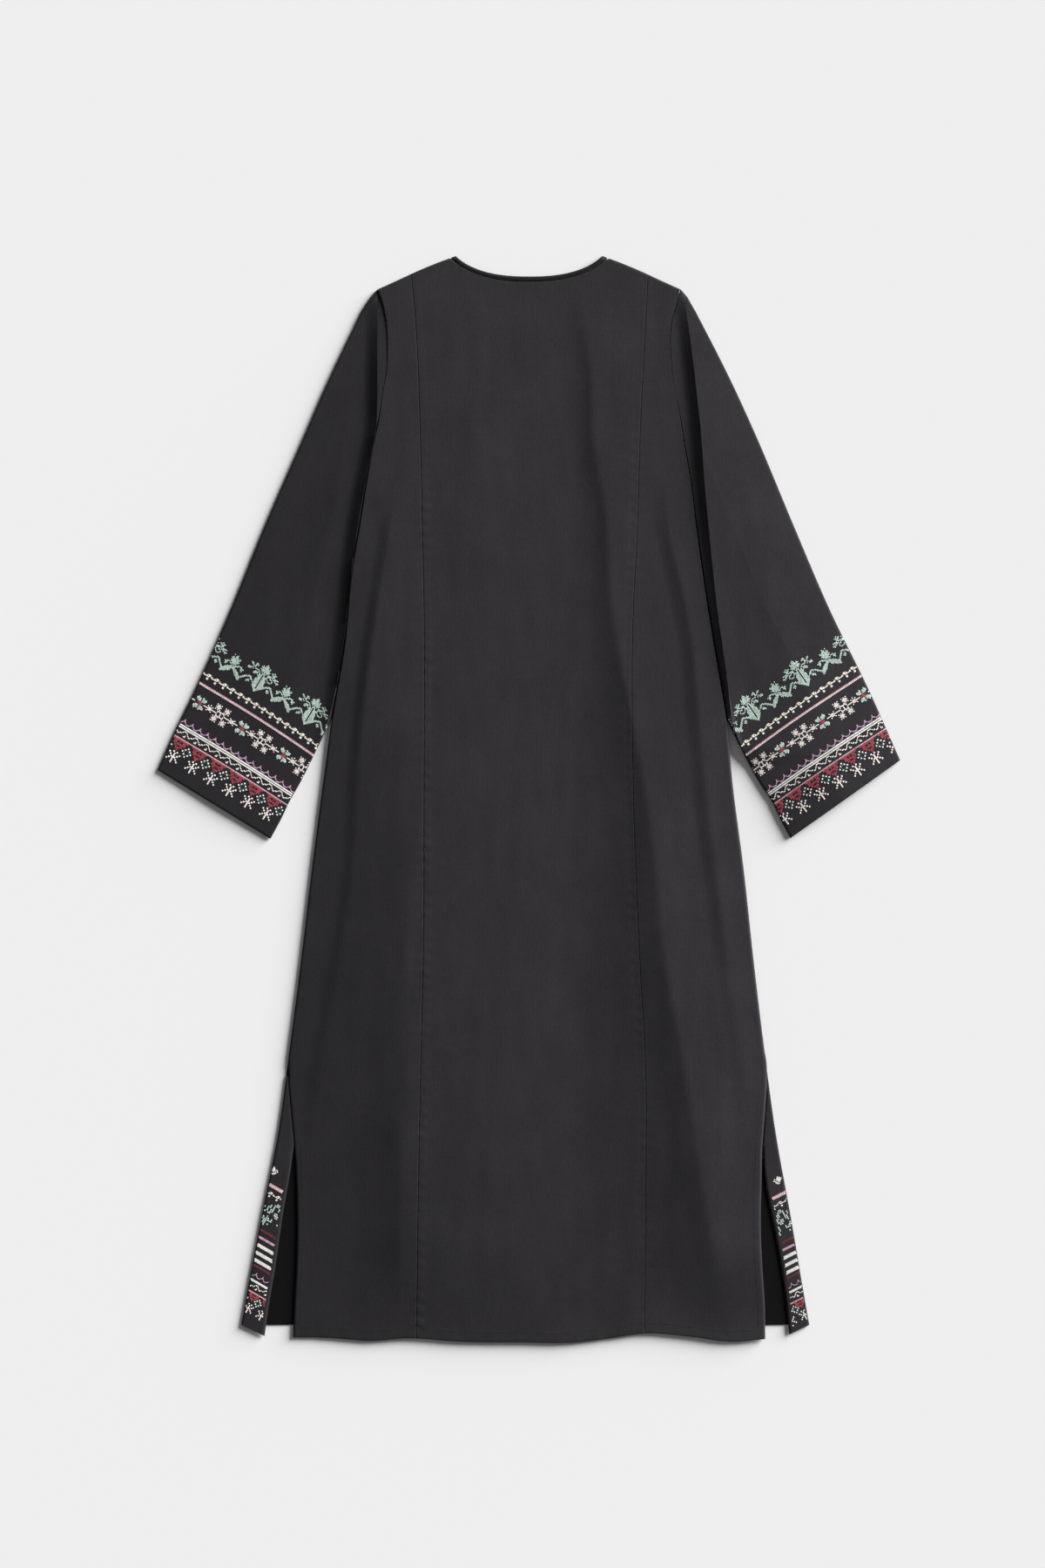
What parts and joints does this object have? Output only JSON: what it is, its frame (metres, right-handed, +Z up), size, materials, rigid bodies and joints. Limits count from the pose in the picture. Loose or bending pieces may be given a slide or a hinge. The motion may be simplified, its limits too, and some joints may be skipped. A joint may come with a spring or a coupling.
{
  "type": "embroidered dress",
  "caption": "Long black A-line dress with flared sleeves and side slits, laid flat with its back up, cross-stitch bands at the cuffs and front hem",
  "frame": {"origin": "On the surface under the middle of the dress as it lies, at the centre of its box", "axes": "+Z up out of the surface and of the dress's back, +Y along the dress toward the neck, +X across it toward its right sleeve as seen from above"},
  "size_m": [0.8957, 1.3107, 0.007],
  "materials": {
    "black_cloth": "matte",
    "binding_cloth": "matte"
  },
  "bodies": {
    "root": {"front": "black_cloth", "back_centre": "black_cloth", "back_side_left": "black_cloth", "back_side_right": "black_cloth", "sleeve_left": "black_cloth", "sleeve_right": "black_cloth", "neck_binding": "binding_cloth"}
  },
  "joints": []
}
